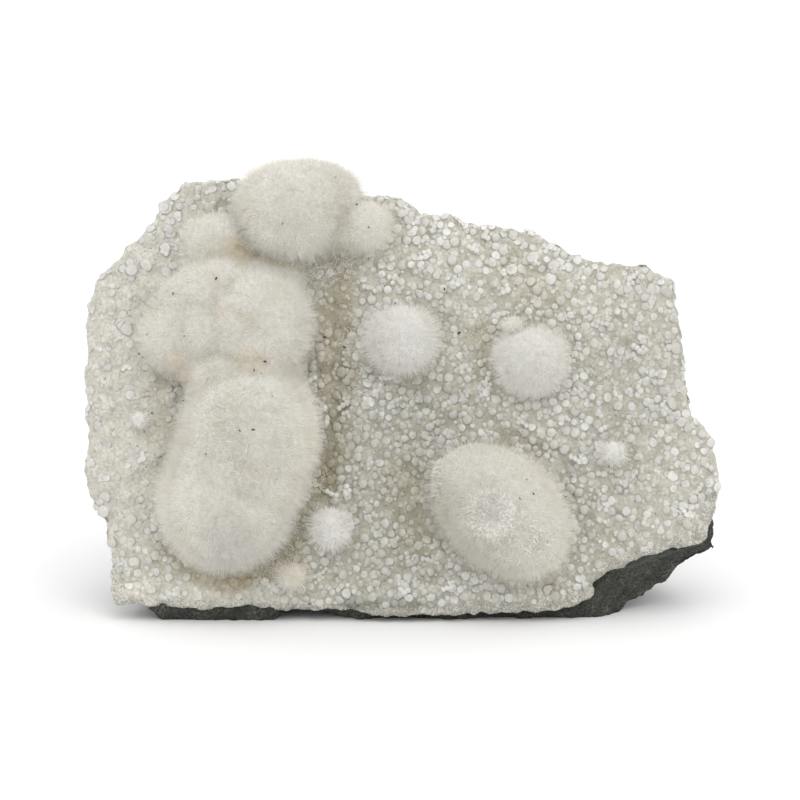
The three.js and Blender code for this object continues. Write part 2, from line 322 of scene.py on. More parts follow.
# -------------------- chalcedony crust
# The sheet of milky chalcedony that lines the basalt, about 3 mm thick. It is a fine granular mass
# between its beads, stained brown round the feet of the puffballs, with painted shade there that is
# deepest on their lower right side, and broken off sugary along the lower edge.

CRUST_MESH = 0.66 * MM
CRUST_SOFTENING = 12
BACK_DEPTH = -1.2  # the back of the crust lies behind this depth, in millimetres
PRESSED_BACK = 0.5 * MM  # how far it is pressed on to the basalt
# Sizes and depths, in millimetres, of the low swellings of the crust and of its fine lumps.
SWELL_SIZE, SWELL_DEPTH = 9, 0.5
LUMP_SIZE, LUMP_DEPTH = 1.6, 0.22
# Where the edge of the crust stands out: a line on the face, how far round it, and the push.
SPURS = [
    ([(-71, 12), (-71, 4)], 5, (-1.4, -0.3, 0)),
    ([(-72, 28), (-76, 34)], 4, (-0.9, 0, 0)),
    ([(-77.5, 60), (-77.5, 62)], 3, (-1.0, 0, 0)),
    ([(76, 84), (73, 85)], 4, (0.4, 0.9, 0)),
    ([(78, 45), (78.5, 33)], 5, (0.7, 0, 0)),
    ([(47.2, 6.5), (47.2, 4.5)], 3, (1.6, 0, 0)),
]
EDGE_LUMPS = 0.7 * MM  # how far the beads at the outer edge stand out
EDGE_LUMP_SIZE = 2.4
EDGE_DEPTH = -0.7  # the outer edge lies behind this depth
BROKEN_WIDTH = 2.6  # of the strip along the broken edge, and how softly it ends
BROKEN_SOFTNESS = 0.6
CLUMP_SIZE = 4
BETWEEN_CLUMPS = 0.6  # how thickly the beads stand between clumps, next to within them
HAZE_THINNING = 0.6  # how much fewer and lower the beads are where they have run together
SUGAR_AT_BREAK = 0.965  # share of the sugary grains that lie on the broken edge alone
FOOT_STAIN_AND_SHADE = 3.5  # width of the brown stain and painted shade round a puffball's foot
SHADED_SIDE = np.array((0.8, -0.6))  # the painted shade gathers on this side of a puffball
FOOT_TONE, SHADED_SIDE_TONE = 0.16, 0.26  # how strong it is, and how much more on that side
# Tints, which the colour of a piece is multiplied by. Some are painted shade and painted light.
# Olive brown: a stain, and painted shade where it lies in creases and beside the feet of the
# puffballs.
OLIVE_STAIN_AND_SHADE = (0.74, 0.69, 0.54)
BROWN = (0.78, 0.73, 0.62)
GREY = (0.77, 0.77, 0.75)
OCHRE_STAIN = (0.86, 0.78, 0.64)
# A brown stain deepened into painted shade.
DARK_STAIN_AND_SHADE = (0.76, 0.72, 0.645)
WHITE = (1.05, 1.05, 1.05)
# White bits on the broken edge, and painted light in a shaded pocket.
SNOW_AND_PAINTED_LIGHT = (1.14, 1.135, 1.12)
SOOT = (0.45, 0.47, 0.42)
# Each stain, painted shade or painted light is a line on the face, how far it spreads, how strong
# it is and its tint.
CRUST_MARKS = [
    ([(-2, 48), (-6, 22)], 26, 0.75, GREY),
    ([(8, 66), (14, 50)], 20, 0.35, GREY),
    # Brown stain with painted shade, to the right of the left puffballs.
    ([(-15, 88), (-17, 62), (-17.5, 40)], 7, 1.0, DARK_STAIN_AND_SHADE),
    # Painted shadow along the lower right of the egg, on an olive-brown stain.
    ([(-19, 38), (-21.5, 29), (-26, 20.5), (-33, 13.5), (-41.5, 11)], 5, 0.85, OLIVE_STAIN_AND_SHADE),
    ([(-41.5, 11), (-50, 13), (-56, 18)], 5, 0.7, OCHRE_STAIN),
    # Painted light, lifting a shaded pocket between the left puffballs.
    ([(-54, 62), (-52, 60)], 4, 1.0, SNOW_AND_PAINTED_LIGHT),
    ([(-60, 58), (-58, 46)], 5, 0.4, BROWN),
    ([(2, 36), (4, 22)], 8, 0.6, BROWN),
    ([(21, 72), (23, 62)], 5, 0.55, BROWN),
    ([(24, 47), (34, 44)], 3, 0.35, BROWN),
    ([(34, 10), (38, 9)], 3.5, 0.6, BROWN),
    ([(26, 88), (38, 80)], 7, 0.35, BROWN),
    ([(4, 98), (36, 88), (58, 80)], 13, 0.8, WHITE),
    ([(-74, 60), (-72, 80), (-56, 104)], 9, 0.5, WHITE),
    ([(-74, 50), (-68, 10)], 8, 0.4, WHITE),
    ([(-71, 8), (-45, 6)], 5, 1.0, SNOW_AND_PAINTED_LIGHT),
    ([(60, 70), (52, 40), (48, 20)], 16, 0.4, GREY),
    ([(-12.6, 4.2), (-6, 4.4)], 1.6, 0.8, SOOT),
    ([(-2, 4.2), (6.6, 4)], 1.4, 0.6, SOOT),
]
# Where the beads have all but run together, in the same terms without a tint.
HAZY = [
    ([(-66, 88), (-70, 66), (-66, 40)], 24, 1.0),
    ([(-50, 110), (-62, 100)], 12, 0.5),
    ([(-70, 30), (-66, 8), (-30, 6)], 10, 0.6),
    ([(12, 84), (20, 72)], 14, 0.4),
    ([(66, 84), (60, 60), (66, 26)], 22, 0.35),
]
# Where few beads grew, and where broad flat ones lie over the others, in the same terms.
FEW_BEADS = [([(-17, 88), (-14.5, 78), (-15, 70)], 7, 0.6)]
BROAD_BEADS = [
    ([(-68, 78), (-60, 96), (-48, 107)], 9, 1.0),
    ([(60, 80), (70, 66), (66, 52)], 9, 0.6),
    ([(4, 98), (36, 88)], 7, 0.4),
    ([(-74, 30), (-66, 12)], 7, 0.5),
    ([(60, 30), (74, 34)], 9, 0.5),
]


def cloudy(places, size):
    """Soft noise from about -1 to 1 at each place, in clouds of a size."""
    return np.array([noise.noise(Vector(place) / size) for place in places])


def inside(areas, places):
    """How far each place is inside any of the areas, from 0 to 1."""
    return np.clip(sum(near(path, places, *reach) for path, *reach in areas), 0, 1)


def marked_tints(places, marks, patchy):
    """The tint of each place under all the stains and painted light and shade, whose reach is
    patchy.
    """
    tints = np.ones((len(places), 3))
    for path, radius, strength, tint in marks:
        tints *= 1 + near(path, places, radius * patchy, strength)[:, None] * (np.array(tint) - 1)
    return tints


def write_tint(piece, tints):
    """Stores the tint of each vertex as an attribute."""
    opaque = np.column_stack((tints, np.ones(len(tints))))
    tint = piece.data.attributes.new("tint", "FLOAT_COLOR", "POINT")
    tint.data.foreach_set("color", opaque.ravel())


def crust_relief(place):
    """Low swellings of the crust, and its fine lumps."""
    at = place / MM
    swells = noise.fractal(at / SWELL_SIZE, 0.8, 2.0, 2)
    lumps = noise.fractal(at / LUMP_SIZE, 0.7, 2.0, 2)
    return (SWELL_DEPTH * swells + LUMP_DEPTH * lumps) * MM


def edge_lumps(place):
    """The beads that stand out of the outer edge."""
    depth = (flat @ place).z / MM
    return EDGE_LUMPS * noise.noise(place / MM / EDGE_LUMP_SIZE) if depth < EDGE_DEPTH else 0


def skin_of(pieces):
    """The skins of several pieces, for measuring how far off they are and where things land."""
    shape = bmesh.new()
    for piece in pieces:
        shape.from_mesh(piece.data)
    tree = BVHTree.FromBMesh(shape)
    shape.free()
    return tree


def foot_distances(piece, places):
    """How far each vertex is outside the nearest puffball, and how much on its painted-shade side.
    """
    nodes = sorted(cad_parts.items())
    balls = skin_of([node for name, node in nodes if name.startswith("puffball")])
    outside, side = [], []
    for vertex, place in zip(piece.data.vertices, places):
        spot, _, _, distance = balls.find_nearest(vertex.co)
        _, way_out, _, _ = balls.ray_cast(vertex.co, outward)
        under = way_out is not None and way_out.dot(outward) > 0
        outside.append(-distance / MM if under else distance / MM)
        from_ball = place[:2] - (flat @ spot / MM).xy
        side.append(from_ball @ SHADED_SIDE / max(np.linalg.norm(from_ball), 0.01))
    return np.array(outside), np.array(side)


crust = merged_copy("chalcedony_crust", "crust")
refine(crust, CRUST_MESH, CRUST_SOFTENING)
relief(crust, crust_relief)
relief(crust, edge_lumps)
for path, radius, push in SPURS:
    swell(crust, path, radius, push)
for vertex in crust.data.vertices:
    if (flat @ vertex.co).z < BACK_DEPTH * MM:
        vertex.co -= outward * PRESSED_BACK

places = flat_places(crust)
outside, side = foot_distances(crust, places)
patchy = 1.15 + 0.7 * cloudy(places, 5)  # makes each stain and painted shade or light reach further in some places
# A brown stain round each puffball's foot, with painted shade that is deepest on its lower right
# side.
foot = (FOOT_TONE + SHADED_SIDE_TONE * side) * (1 - smooth(outside, 0.2, FOOT_STAIN_AND_SHADE * patchy))
tints = marked_tints(places, CRUST_MARKS, patchy)
write_tint(crust, tints * (1 + foot[:, None] * (np.array(OLIVE_STAIN_AND_SHADE) - 1)))

facing = np.array([vertex.normal.dot(outward) for vertex in crust.data.vertices])
front = smooth(facing, -0.2, 0.1)
bare = smooth(outside, -0.6, 0)  # not under a puffball
strip = (BROKEN_WIDTH - BROKEN_SOFTNESS, BROKEN_WIDTH + BROKEN_SOFTNESS)
unbroken = smooth(away_from(BROKEN_EDGE, places), *strip)
clumps = smooth(cloudy(places, CLUMP_SIZE), -0.35, 0.1)
clumps = BETWEEN_CLUMPS + (1 - BETWEEN_CLUMPS) * clumps
haze = inside(HAZY, places)
growth = 1 - HAZE_THINNING * haze
cover = front * bare * unbroken * clumps * growth * (1 - inside(FEW_BEADS, places))
write(crust, "cover", cover)
write(crust, "broad", front * bare * unbroken * inside(BROAD_BEADS, places))
write(crust, "sugar", smooth(facing, -0.5, -0.2) * bare * (1 - SUGAR_AT_BREAK * unbroken))
write(crust, "haze", haze)
write(crust, "growth", growth)


def tinted(tree, base):
    """A colour under the tint that is stored on the piece."""
    tint = add(tree, "ShaderNodeAttribute", attribute_name="tint").outputs["Color"]
    return multiplied(tree, base, tint)


def translucent(shader, depth):
    """Lets light spread a depth in millimetres through a milky stone or a felt."""
    shader["Subsurface Weight"].default_value = 1.0
    shader["Subsurface Radius"].default_value = (1.0, 1.0, 1.0)
    shader["Subsurface Scale"].default_value = depth * MM


def frosted_discs(tree, size):
    """Round frosted spots, a size across: how near the middle of one, and its own random tone."""
    place = add(tree, "ShaderNodeTexCoord").outputs["Object"]
    spacing = {"Vector": place, "Scale": 1 / (size * MM), "Randomness": 0.8}
    spots = add(tree, "ShaderNodeTexVoronoi", spacing).outputs
    middle = ramped(tree, spots["Distance"], 0.52, 0.36)
    return middle, add(tree, "ShaderNodeSeparateColor", {0: spots["Color"]}).outputs[0]


MASS_DARK = colour(178, 175, 162)
MASS_LIGHT = colour(197, 195, 184)
DISC_LIGHT = colour(216, 215, 208)
DISC_SIZE = 2.1
HAZE_WHITE = colour(209, 207, 199)
FINE_GREY = colour(232, 231, 227)


def granular_chalcedony():
    stone, tree, shader = material("granular_chalcedony", 0.55)
    grain = patches(tree, MASS_DARK, MASS_LIGHT, 2.2, 3)
    fine = patches(tree, FINE_GREY, (1, 1, 1, 1), 0.7, 4)
    middle, tone = frosted_discs(tree, DISC_SIZE)
    share = {0: middle, 1: ramped(tree, tone, 0.1, 0.9)}
    share = add(tree, "ShaderNodeMath", share, operation="MULTIPLY").outputs[0]
    spotted = mixed(tree, share, grain["Colour"], DISC_LIGHT)
    veil = ramped(tree, stored(tree, "haze"), 0.0, 1.0, 0.0, 0.6)
    hazy = mixed(tree, veil, spotted, HAZE_WHITE)
    tree.links.new(tinted(tree, multiplied(tree, hazy, fine["Colour"])), shader["Base Color"])
    tree.links.new(bumpy(tree, (share, 0.15), (fine["Height"], 0.12)), shader["Normal"])
    translucent(shader, 0.6)
    return stone


crust.data.materials.append(granular_chalcedony())
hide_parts("chalcedony_crust")
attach(crust, "root")

# -------------------- chalcedony beads
# Thousands of chalcedony beads that grew side by side on the crust, 1 to 4 mm across, low, milky
# and paler than the mass between them. Some are broad and flat, some have run together in crooked
# rows, and fine sugary grains lie between them and along the broken edge.

BEAD_SHAPES = 5
BEAD_FLATNESS = 0.8  # below 1, a bead has a flatter top than a ball
BEAD_ROOT = -0.4  # how deep a bead goes into the crust, in its own heights
BEAD_UNEVENNESS = 0.14
BEAD_STEP = (1.25, 0, 0.02)  # from one bead of a row to the next, in radii


def bead(seed):
    """The flattened top of an uneven ball of radius 1. Its rise is 0 at its foot and 1 on top."""
    shape = bmesh.new()
    bmesh.ops.create_uvsphere(shape, u_segments=9, v_segments=4, radius=1)
    whole = shape.verts[:] + shape.edges[:] + shape.faces[:]
    foot = dict(plane_co=(0, 0, BEAD_ROOT), plane_no=(0, 0, 1))
    cut = bmesh.ops.bisect_plane(shape, geom=whole, clear_inner=True, **foot)
    rim = [part for part in cut["geom_cut"] if isinstance(part, bmesh.types.BMEdge)]
    bmesh.ops.holes_fill(shape, edges=rim)
    rise = shape.verts.layers.float.new("rise")
    for vertex in shape.verts:
        vertex[rise] = max(0, vertex.co.z) ** BEAD_FLATNESS
        if vertex.co.z > 0:
            vertex.co.z = vertex[rise]
        at = vertex.co * 1.1 + Vector((7 * seed, 0, 0))
        vertex.co += BEAD_UNEVENNESS * noise.noise_vector(at)
    for side in shape.faces:
        side.smooth = len(side.verts) < 5  # all but the foot
    return shape


def take_in(shape, grown, place):
    """Moves a bmesh to its place in another one and joins it to that."""
    grown.transform(place)
    mesh = bpy.data.meshes.new("grown")
    grown.to_mesh(mesh)
    grown.free()
    shape.from_mesh(mesh)
    bpy.data.meshes.remove(mesh)


def bunch(seed):
    """Several beads run together in a crooked row."""
    shape = bmesh.new()
    place = Vector((0, 0, 0))
    for i in range(3 + seed):
        size = 0.85 + 0.3 * noise.noise(Vector((seed, i, 0.5)))
        sized = Matrix.Translation(place) @ Matrix.Diagonal((size, size, size, 1))
        take_in(shape, bead(10 * seed + i), sized)
        turn = 2.6 * noise.noise(Vector((i, seed, 2.5))) + (2.1 if i % 3 == 2 else 0)
        place += Matrix.Rotation(turn, 3, "Z") @ Vector(BEAD_STEP)
    return shape


def grain_shape():
    """A small angular grain: a squat four-sided pyramid."""
    shape = bmesh.new()
    bmesh.ops.create_cone(shape, cap_ends=True, segments=4, radius1=1, radius2=0, depth=1.4)
    bmesh.ops.remove_doubles(shape, verts=shape.verts, dist=1e-4)
    return shape


def scatter(name, surface, shapes, density, width, height, **more):
    """Stands copies of the shapes on a surface, joined as one new piece.

    density is how many stand on a square millimetre, and width and height are their (least, most)
    sizes in millimetres. More may name an attribute of the surface: cover, which thins them out;
    stretch, which their height is multiplied by; comb, the direction that they stand in. It may
    give spacing, the least distance between two; lean, the most that one tilts, in degrees; skew,
    above 1 for more short than tall ones; and seed."""
    seed = more.get("seed", 0)
    tree = bpy.data.node_groups.new(name, "GeometryNodeTree")
    for way in ("INPUT", "OUTPUT"):
        tree.interface.new_socket("Geometry", in_out=way, socket_type="NodeSocketGeometry")

    def written(attribute, kind="FLOAT"):
        named = {"Name": attribute}
        return add(tree, "GeometryNodeInputNamedAttribute", named, data_type=kind).outputs[0]

    def worked(operation, first, second):
        return add(tree, "ShaderNodeMath", {0: first, 1: second}, operation=operation).outputs[0]

    def chance(low, high, salt):
        spread = {2: low, 3: high, "Seed": seed + salt}
        return add(tree, "FunctionNodeRandomValue", spread, data_type="FLOAT").outputs[1]

    given = {"Mesh": add(tree, "NodeGroupInput").outputs[0], "Seed": seed}
    share = written(more.get("cover", "cover"))
    if "spacing" in more:
        given |= {"Density Max": density / MM**2, "Density Factor": share}
        given["Distance Min"] = more["spacing"] * MM
        way = "POISSON"
    else:
        given["Density"] = worked("MULTIPLY", share, density / MM**2)
        way = "RANDOM"
    spots = add(tree, "GeometryNodeDistributePointsOnFaces", given, distribute_method=way).outputs

    tilt = math.radians(more.get("lean", 0))
    turns = {0: chance(-tilt, tilt, 1), 1: chance(-tilt, tilt, 2), 2: chance(0, math.tau, 3)}
    turn = add(tree, "ShaderNodeCombineXYZ", turns).outputs[0]
    turn = add(tree, "FunctionNodeEulerToRotation", {0: turn}).outputs[0]
    upright = spots["Rotation"]
    if "comb" in more:
        combed = {"Vector": written(more["comb"], "FLOAT_VECTOR")}
        upright = add(tree, "FunctionNodeAlignRotationToVector", combed, axis="Z").outputs[0]
    leaning = {0: upright, 1: turn}
    aimed = add(tree, "FunctionNodeRotateRotation", leaning, rotation_space="LOCAL").outputs[0]
    across = chance(width[0] * MM, width[1] * MM, 4)
    uneven = worked("POWER", chance(0, 1, 5), more.get("skew", 1))
    tall = {0: uneven, 1: (height[1] - height[0]) * MM, 2: height[0] * MM}
    tall = add(tree, "ShaderNodeMath", tall, operation="MULTIPLY_ADD").outputs[0]
    if "stretch" in more:
        tall = worked("MULTIPLY", tall, written(more["stretch"]))
    sizes = add(tree, "ShaderNodeCombineXYZ", {0: across, 1: across, 2: tall}).outputs[0]

    store = bpy.data.collections.new(name)
    kinds = [linked(name + "_shape", shape) for shape in shapes]
    for kind in kinds:
        bpy.context.scene.collection.objects.unlink(kind)
        store.objects.link(kind)
    stock = {"Collection": store, "Separate Children": True, "Reset Children": True}
    stock = add(tree, "GeometryNodeCollectionInfo", stock).outputs[0]
    placed = {"Points": spots["Points"], "Instance": stock, "Pick Instance": True}
    placed |= {"Rotation": aimed, "Scale": sizes}
    copies = add(tree, "GeometryNodeInstanceOnPoints", placed).outputs[0]
    tone = {"Geometry": copies, "Name": "tone", "Value": chance(0, 1, 6)}
    toned = add(tree, "GeometryNodeStoreNamedAttribute", tone, data_type="FLOAT", domain="INSTANCE")
    real = add(tree, "GeometryNodeRealizeInstances", {0: toned.outputs[0]}).outputs[0]
    add(tree, "NodeGroupOutput", {0: real})

    layer = surface.modifiers.new(name, "NODES")
    layer.node_group = tree
    graph = bpy.context.evaluated_depsgraph_get()
    mesh = bpy.data.meshes.new_from_object(surface.evaluated_get(graph))
    surface.modifiers.remove(layer)
    for kind in kinds:
        bpy.data.objects.remove(kind)
    bpy.data.collections.remove(store)
    mesh.materials.clear()
    return shown(name, mesh)


BEAD_GREY = colour(201, 199, 193)
BEAD_WHITE = colour(222, 222, 219)
BEAD_CROWN = colour(204, 203, 196)
BEAD_HAZE = colour(206, 204, 199)
SUGAR_GREY = colour(140, 138, 128)
SUGAR_WHITE = colour(216, 215, 210)


def bead_stone(name):
    stone, tree, shader = material(name, 0.45)
    rise = stored(tree, "rise")
    own = mixed(tree, ramped(tree, stored(tree, "tone"), 0.1, 1.2), BEAD_GREY, BEAD_WHITE)
    crown = mixed(tree, ramped(tree, rise, 0.8, 1.0, 0.0, 0.35), own, BEAD_CROWN)
    rooted = mixed(tree, ramped(tree, rise, 0.0, 0.6), MASS_LIGHT, crown)
    veil = ramped(tree, stored(tree, "haze"), 0.0, 1.0, 0.0, 0.6)
    hazy = mixed(tree, veil, rooted, BEAD_HAZE)
    fine = patches(tree, colour(240, 239, 237), (1, 1, 1, 1), 0.6, 3)
    tree.links.new(tinted(tree, multiplied(tree, hazy, fine["Colour"])), shader["Base Color"])
    return stone, shader


def sugary_stone():
    stone, tree, shader = material("sugary_chalcedony", 0.5)
    own = mixed(tree, ramped(tree, stored(tree, "tone"), 0, 1), SUGAR_GREY, SUGAR_WHITE)
    tree.links.new(tinted(tree, own), shader["Base Color"])
    return stone


def finish(piece, stone):
    """Gives a layer of chalcedony its stone and lets it ride with the rock."""
    piece.data.materials.append(stone)
    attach(piece, "root")


milky, milky_shader = bead_stone("milky_chalcedony")
translucent(milky_shader, 0.4)
fused, _ = bead_stone("fused_chalcedony")
LARGE = dict(density=0.4, spacing=2.0, width=(0.95, 1.45), height=(0.24, 0.38), lean=6, seed=3)
BROAD = dict(density=0.07, spacing=3.2, width=(1.3, 1.9), height=(0.26, 0.44), lean=6, seed=29)
SMALL = dict(density=0.36, spacing=1.5, width=(0.5, 0.9), height=(0.16, 0.3), lean=10, seed=11)
BEADS = {"large_beads": LARGE, "broad_beads": dict(BROAD, cover="broad"), "small_beads": SMALL}
for name, sizes in BEADS.items():
    shapes = [bead(i) for i in range(BEAD_SHAPES)]
    finish(scatter(name, crust, shapes, stretch="growth", **sizes), milky)

# Bunches in places of their own: across and up the face in millimetres, which shape, and its turn.
PLACED_BUNCHES = [
    (-23.6, 59.4, 0, 20), (-19.9, 53.2, 1, 100), (-18.4, 49.6, 0, 60), (-20.6, 17.4, 1, 70),
    (-12.2, 23.7, 0, 90), (-13.9, 32.5, 1, 20), (-16.1, 31.4, 0, 140), (-6.4, 57.4, 2, 60),
    (-8.1, 54.6, 1, 70), (13.1, 84.5, 2, 30), (25.6, 82.2, 2, 80), (54.9, 56, 3, 75),
    (59.1, 56.5, 2, 110), (56.9, 84, 3, 10), (65.4, 52.7, 1, 40), (61.1, 67.7, 3, 120),
    (40, 22, 1, 60), (0, 8, 2, 10), (-32, 8, 1, 80), (-62, 24, 1, 30),
]
BUNCH_RADIUS = 1.0
BUNCH_HEIGHT = 0.5
BUNCH_TONE = 0.55
ABOVE_ALL = 80  # a height over the face that is above everything on it


def landing(skin, x, y, turn):
    """Where a thing lands that falls on to the face, the normal there, and how it lies."""
    start = face @ (Vector((x, y, ABOVE_ALL)) * MM)
    spot, normal, _, _ = skin.ray_cast(start, -outward)
    lying = normal.to_track_quat("Z", "Y").to_matrix().to_4x4() @ Matrix.Rotation(turn, 4, "Z")
    return spot, normal, lying


def placed_bunches():
    """The bunches in places of their own, as one piece."""
    skin = skin_of([crust])
    shape = bmesh.new()
    sized = Matrix.Diagonal((BUNCH_RADIUS * MM, BUNCH_RADIUS * MM, BUNCH_HEIGHT * MM, 1))
    for x, y, kind, turn in PLACED_BUNCHES:
        spot, _, lying = landing(skin, x, y, math.radians(turn))
        take_in(shape, bunch(kind), Matrix.Translation(spot) @ lying @ sized)
    piece = linked("placed_bunches", shape)
    count = len(piece.data.vertices)
    write(piece, "tone", np.full(count, BUNCH_TONE))
    write_tint(piece, np.ones((count, 3)))
    return piece


finish(placed_bunches(), fused)

BUNCHED = dict(density=0.03, spacing=4.5, width=(0.8, 1.05), height=(0.3, 0.42), lean=8, seed=17)
bunch_shapes = [bunch(i) for i in range(4)]
finish(scatter("bunched_beads", crust, bunch_shapes, stretch="growth", **BUNCHED), fused)

SUGAR = dict(density=5, width=(0.14, 0.36), height=(0.15, 0.45), lean=60, cover="sugar", seed=5)
finish(scatter("sugary_grains", crust, [grain_shape()], **SUGAR), sugary_stone())

# -------------------- puffballs
# Okenite puffballs: balls of silky needles that all start from one point, so dense that each looks
# like a felted ball with a soft outline. Each is a solid core under a pile of loose needle tips,
# with a fringe of longer needles round its outline.

GOLDEN = (0.92, 0.85, 0.70)
BLUSH = (0.99, 0.95, 0.92)
OCHRE = (0.97, 0.92, 0.83)
# Paler felt, which stands for painted light on the left and upper sides of the left puffballs.
PALE_AND_PAINTED_LIGHT = (1.03, 1.03, 1.04)
# Duller felt, and painted shade on the lower left of the lower right puffball.
DULL_AND_SHADE = (0.90, 0.90, 0.89)
# Painted light, which lifts the felt above its own colour.
PAINTED_LIGHT = (1.07, 1.07, 1.06)
CRUSHED = (0.84, 0.84, 0.85)
# Greyer felt, darkened further as painted shade on the underside of the egg.
GREY_AND_SHADE = (0.90, 0.90, 0.905)
# Tints of the felt: stains, with painted light and painted shade among them.
BALL_MARKS = [
    # Painted shade in the crease under the upper balls, on an olive-brown stain.
    ([(-40, 93.2), (-34, 90.2), (-28.4, 88.8), (-17.6, 87.2)], 1.8, 0.7, OLIVE_STAIN_AND_SHADE),
    ([(-42, 94), (-39.5, 91)], 4, 0.6, GOLDEN),
    ([(-14.5, 108), (-14, 100), (-15, 93)], 3.5, 0.15, OLIVE_STAIN_AND_SHADE),
    # Painted light on the upper left of the large ball.
    ([(-46.5, 83), (-44, 79.5)], 5, 1, PALE_AND_PAINTED_LIGHT),
    ([(-38, 66), (-35, 64.5)], 5, 0.5, OCHRE),
    ([(-44, 76.5), (-38, 76)], 4, 0.6, BLUSH),
    ([(-56, 66), (-53, 60)], 4, 0.8, BLUSH),
    ([(-61, 70), (-58, 67.3)], 3.5, 1, PALE_AND_PAINTED_LIGHT),
    ([(-39, 39), (-34, 38)], 4, 0.6, BLUSH),
    ([(-42, 52), (-37, 42)], 6, 0.35, DULL_AND_SHADE),
    ([(-52, 34), (-50, 24)], 5, 0.9, PALE_AND_PAINTED_LIGHT),
    ([(24, 28), (19, 36)], 14, 0.4, DULL_AND_SHADE),
    ([(22.1, 27.5), (22.4, 27.2)], 2.4, 0.9, CRUSHED),
    # Painted shade on the underside of the egg, on greyer felt.
    ([(-42.5, 21), (-40, 10)], 10, 0.85, GREY_AND_SHADE),
    ([(-46, 92), (-44, 84)], 4, 0.25, OCHRE),
    ([(-30, 15), (-24, 11)], 5, 0.5, OCHRE),
    # Painted shade on the lower left of the lower right puffball.
    ([(9, 31), (15, 21), (25, 13)], 7, 0.9, DULL_AND_SHADE),
    # Painted light on the right side of the egg and in the creases round its neck.
    ([(-21, 52), (-22, 40), (-25, 30)], 8, 1.0, PAINTED_LIGHT),
    ([(-54, 63), (-50, 60)], 5, 1.0, PAINTED_LIGHT),
    ([(-27, 64), (-24, 60)], 5, 1.0, PAINTED_LIGHT),
    ([(-40, 63), (-34, 66)], 6, 0.6, PAINTED_LIGHT),
    # Painted light on top of the left balls.
    ([(-52, 84), (-50, 80)], 6, 1, PALE_AND_PAINTED_LIGHT),
]
SILK_CREAM = (0.95, 0.94, 0.92)
SILK_WHITE = (0.985, 0.985, 0.99)

# How thickly the needles stand on a square millimetre, and their radii, lengths and lean. The
# fringe of a spiky bud is coarser than others, and that of a full ball is denser.
PILE = dict(density=8, width=(0.045, 0.08), height=(0.4, 1.2), lean=22)
FRINGE = dict(density=18, width=(0.015, 0.026), height=(0.5, 5.0), skew=1.2, lean=20)
SPIKY = dict(density=16, width=(0.025, 0.045), lean=14, skew=1.3)
FULL = dict(density=24, width=(0.016, 0.028), skew=0.9)

# Each felt is one group of balls that have run together without a seam. A ball is given by its
# place across, up and out of the face, and by its radii in those directions, in millimetres.
FELTS = {
    "upper": dict(
        node="puffball_cluster",
        softening=30,
        balls=[
            (-28.2, 102.6, 3, 13.8, 14.2, 13.5), (-24, 103.9, 1.5, 12.6, 13.4, 10.6),
            (-19.6, 104.3, 0.5, 12.1, 12.6, 8.4), (-13, 99.5, 0.5, 8.2, 8.6, 7),
            (-8.6, 98.8, 2, 7.7, 8, 7.6),
        ],
    ),
    "lower": dict(
        node="puffball_cluster",
        softening=60,
        balls=[
            (-46, 94.2, 1.5, 9.6, 9.8, 9), (-41, 91.5, 1, 8.4, 8.4, 7.4),
            (-36.9, 74.2, 3, 15.9, 16.8, 15.5), (-54.2, 71.8, 2, 11.3, 11.3, 10.8),
            (-47, 73, 2.5, 13, 13, 12.6), (-45, 81.8, 2.4, 12.6, 12.6, 12.4),
            (-51, 78.5, 2, 11.2, 11.2, 10.2), (-33.5, 87.6, 0.5, 12, 6.8, 8.2),
            (-42.8, 63, 2.5, 12, 10, 12.6), (-36, 63, 2.5, 11, 10, 13),
            (-37.4, 47, 4, 17.9, 20.5, 17.5), (-40.2, 37.5, 3, 17.8, 18.5, 17),
            (-43.4, 29.5, 3, 17.6, 17.6, 17),
        ],
    ),
    "lower_right": dict(
        node="puffball_lower_right",
        balls=[(24.9, 28, 3, 20.6, 15, 15.5)],
        turn=-45,
    ),
    "centre": dict(
        node="puffball_centre",
        balls=[(0.4, 70.8, 1.8, 9.2, 9.2, 9)],
        silk=SILK_WHITE,
        inset=1.7,
        fringe=dict(FULL, height=(0.5, 4.6)),
    ),
    "right": dict(
        node="puffball_right",
        balls=[(32.6, 65.3, 1.8, 9.3, 9.3, 9)],
        silk=SILK_WHITE,
        inset=1.7,
        fringe=dict(FULL, height=(0.5, 4.6)),
    ),
    "right_offshoot": dict(
        node="puffball_right",
        balls=[(28.2, 73.7, 1.8, 3.4, 3.4, 3.4)],
        inset=1.2,
        fringe=dict(height=(0.4, 2.2)),
    ),
    "white_bud": dict(
        node="puffball_white_bud",
        balls=[(-17.6, 23.5, 2, 5.8, 6.3, 6)],
        silk=SILK_WHITE,
        inset=1.9,
        fringe=dict(SPIKY, height=(0.8, 3.9)),
    ),
    "tan_bud": dict(
        node="puffball_tan_bud",
        balls=[(-27.1, 11.5, 1.2, 4.8, 4.6, 4.4)],
        inset=1.7,
        fringe=dict(SPIKY, height=(0.6, 4.2)),
    ),
    "right_bud": dict(
        node="puffball_right_bud",
        balls=[(52.9, 42.3, 0.8, 3.8, 3.8, 4.4)],
        silk=SILK_WHITE,
        inset=1.5,
        fringe=dict(SPIKY, height=(0.5, 4.2)),
    ),
    "left_bud": dict(
        node="puffball_left_bud",
        balls=[(-64.9, 50.3, 0.6, 3.1, 3.3, 3)],
        silk=SILK_WHITE,
        inset=1.3,
        fringe=dict(height=(0.4, 2.6)),
    ),
}
INSET = 2.2  # how deep the felted core lies under the outline
FRONT_INSET = 0.45  # and, as a share of that, under the front
CORE_MESH = (0.25, 0.55)  # the finest and the coarsest mesh of a core
CORE_STEPS = 17  # and how many steps of it the smallest radius has between those two
CORE_SOFTENING = 3
DENT_SIZE, DENT_DEPTH = 8, 0.25  # the soft dents of the felt
NAP_SIZE, NAP_DEPTH = 1.8, 0.08  # and its fine nap
